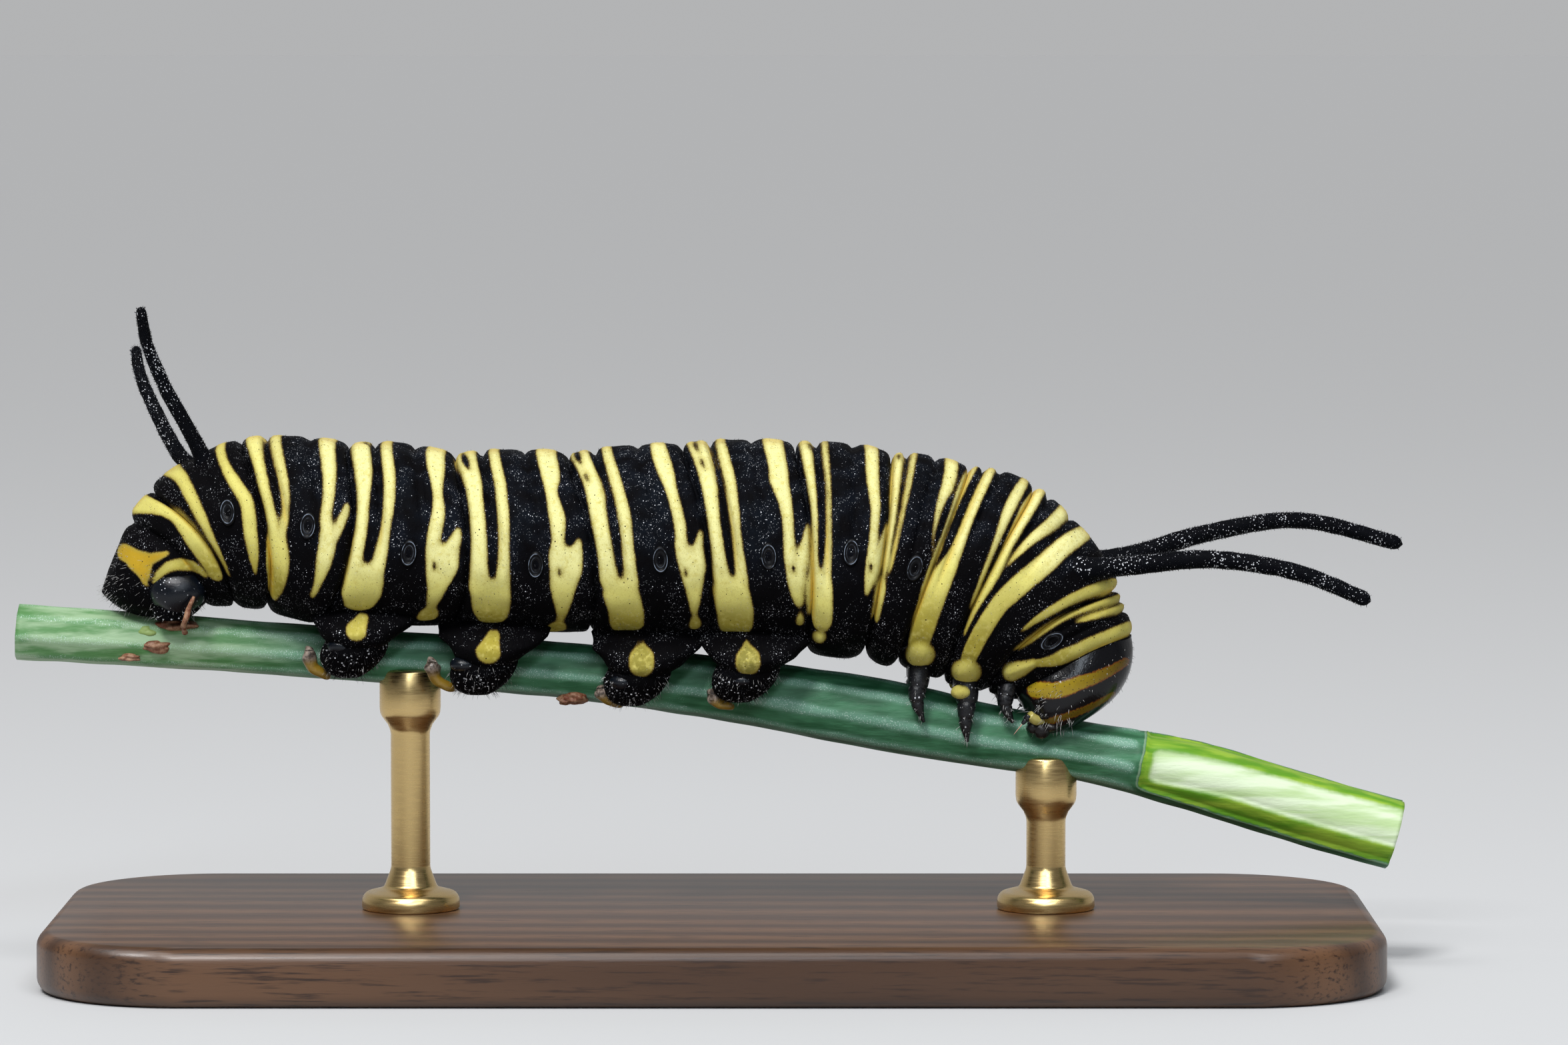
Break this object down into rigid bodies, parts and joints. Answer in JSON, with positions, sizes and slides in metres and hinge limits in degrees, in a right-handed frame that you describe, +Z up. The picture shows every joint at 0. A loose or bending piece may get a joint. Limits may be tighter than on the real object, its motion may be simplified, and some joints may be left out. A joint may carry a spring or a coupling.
{
  "type": "monarch butterfly larva on a display stand",
  "caption": "Striped butterfly larva with paired tentacles, gripping a cut plant stem held over a flat base by short rods.",
  "frame": {"origin": "middle of the stand base's underside", "axes": "+X towards the larva's head, +Y towards its left side, +Z up"},
  "size_m": [0.0569, 0.025, 0.0271],
  "materials": {
    "larval_skin": "soft velvety skin, black with forked pale yellow stripes",
    "head_capsule": "glossy black with two orange yellow arches",
    "eye": "polished black beads",
    "tentacle": "velvety black",
    "leg": "glossy black",
    "proleg": "black skin with a pale yellow spot and a shiny shield",
    "plant_stem": "green ribbed plant skin with fine pale specks",
    "stand_wood": "satin dark walnut",
    "stand_brass": "satin brass"
  },
  "bodies": {
    "root": {"thorax_1": "larval_skin", "thorax_2": "larval_skin", "thorax_3": "larval_skin", "abdomen_1": "larval_skin", "abdomen_2": "larval_skin", "abdomen_3": "larval_skin", "abdomen_4": "larval_skin", "abdomen_5": "larval_skin", "abdomen_6": "larval_skin", "abdomen_7": "larval_skin", "abdomen_8": "larval_skin", "abdomen_9": "larval_skin", "abdomen_10": "larval_skin", "head": "head_capsule", "mouthparts": "head_capsule", "eyes_right": "eye", "antenna_right": "head_capsule", "tentacle_front_right": "tentacle", "tentacle_rear_right": "tentacle", "leg_1_right": "leg", "leg_2_right": "leg", "leg_3_right": "leg", "proleg_3_right": "proleg", "proleg_4_right": "proleg", "proleg_5_right": "proleg", "proleg_6_right": "proleg", "proleg_anal_right": "proleg", "eyes_left": "eye", "antenna_left": "head_capsule", "tentacle_front_left": "tentacle", "tentacle_rear_left": "tentacle", "leg_1_left": "leg", "leg_2_left": "leg", "leg_3_left": "leg", "proleg_3_left": "proleg", "proleg_4_left": "proleg", "proleg_5_left": "proleg", "proleg_6_left": "proleg", "proleg_anal_left": "proleg", "stem": "plant_stem", "stand_base": "stand_wood", "stand_rod_front": "stand_brass", "stand_rod_rear": "stand_brass"}
  },
  "joints": []
}
